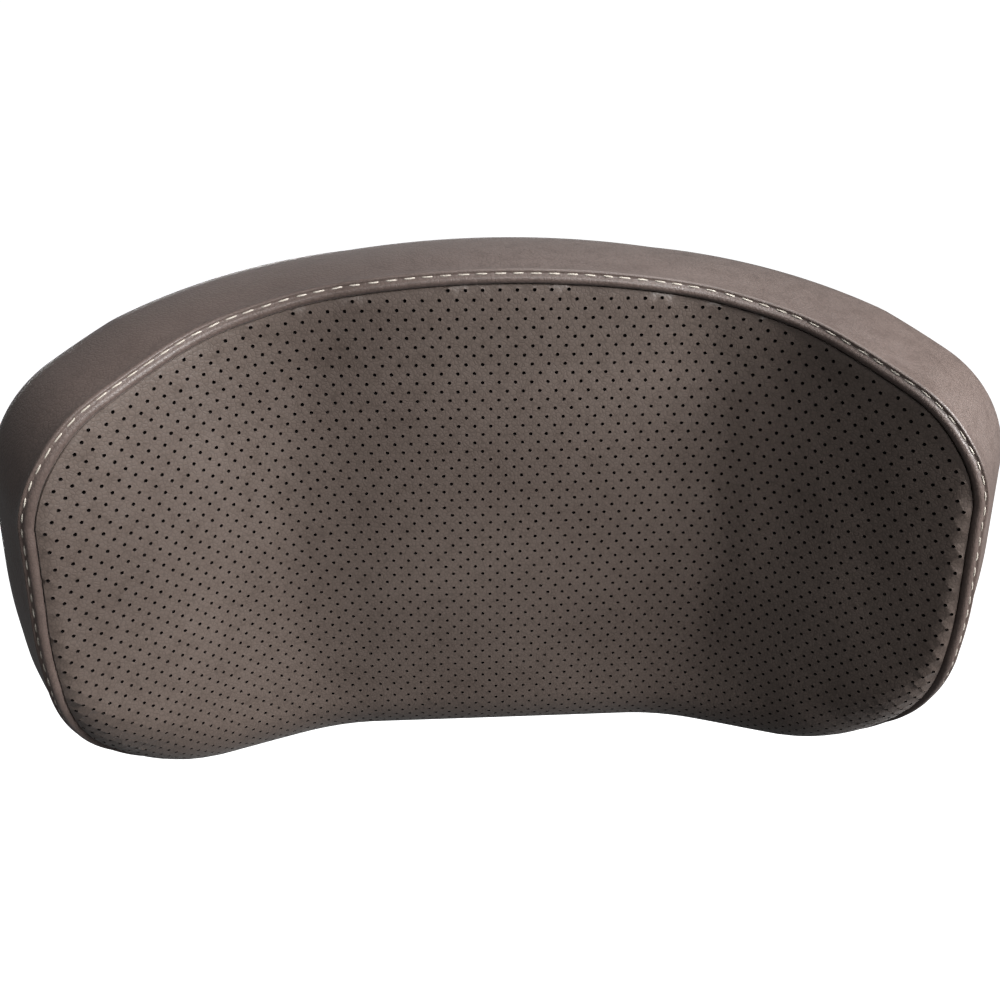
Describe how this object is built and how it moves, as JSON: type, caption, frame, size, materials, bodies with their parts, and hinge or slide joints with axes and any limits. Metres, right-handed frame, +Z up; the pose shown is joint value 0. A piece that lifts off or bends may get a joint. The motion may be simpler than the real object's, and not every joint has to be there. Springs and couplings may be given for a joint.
{
  "type": "chair headrest attachment",
  "caption": "Curved upholstered head pad with perforated leather face on a friction tilt hinge and a height-adjustable stem, clamped by a rear knob in a bolted guide housing.",
  "frame": {"origin": "centre of the two-bolt pattern on the mounting face, which lies against the rear of the chair back", "axes": "+X across the chair, -Y towards the user's head and +Y to the rear, +Z up"},
  "size_m": [0.3182, 0.1755, 0.246],
  "materials": {
    "cover_leather": "perforated and smooth taupe leather, semi-matt",
    "foam": "moulded polyurethane foam",
    "board_plastic": "moulded polypropylene",
    "shell_plastic": "textured black moulded plastic",
    "housing_plastic": "glass-filled nylon, fine texture",
    "knob_plastic": "moulded nylon",
    "liner_plastic": "natural acetal",
    "black_steel": "black powder coat on steel",
    "zinc_steel": "zinc plated steel",
    "black_screw": "black oxide steel",
    "insert_brass": "machined brass",
    "gasket_rubber": "soft rubber sheet"
  },
  "bodies": {
    "base": {"mounting_gasket": "gasket_rubber", "guide_housing": "housing_plastic", "housing_cover": "housing_plastic", "cover_screws": "black_screw", "mount_ferrules": "zinc_steel", "stem_liners": "liner_plastic", "clamp_insert": "insert_brass"},
    "clamp_shoe": {"clamp_shoe": "liner_plastic"},
    "clamp_knob": {"knob_stud": "zinc_steel", "clamp_knob": "knob_plastic", "knob_cap": "knob_plastic"},
    "stem": {"stem_strap": "black_steel", "hinge_barrel": "black_steel", "hinge_bushes": "liner_plastic", "stop_screw": "black_screw"},
    "pad": {"face_panel": "cover_leather", "side_band": "cover_leather", "foam_core": "foam", "carrier_board": "board_plastic", "tee_nuts": "zinc_steel", "cover_staples": "zinc_steel", "rear_shell": "shell_plastic", "shell_screws": "black_screw", "hinge_bracket": "black_steel", "bracket_screws": "black_screw", "hinge_bolt": "zinc_steel", "disc_springs": "zinc_steel", "hinge_nut": "zinc_steel", "friction_discs": "liner_plastic", "hinge_caps": "housing_plastic"}
  },
  "joints": [
    {"name": "height_slide", "type": "slide", "parent": "base", "child": "stem", "axis": [0, 0, 1], "range_m": [0, 0.05]},
    {"name": "pad_tilt", "type": "hinge", "parent": "stem", "child": "pad", "pos_m": [0, -0.014, 0.132], "axis": [1, 0, 0], "range_deg": [-30, 18]},
    {"name": "shoe_travel", "type": "slide", "parent": "base", "child": "clamp_shoe", "axis": [0, 1, 0], "range_m": [0, 0.00125]},
    {"name": "knob_turn", "type": "hinge", "parent": "clamp_shoe", "child": "clamp_knob", "pos_m": [0, 0.03, 0.022], "axis": [0, 1, 0], "range_deg": [0, 360]}
  ],
  "couplings": [
    {"joint": "shoe_travel", "follows": "knob_turn", "m_per_rad": 0.00019894}
  ]
}
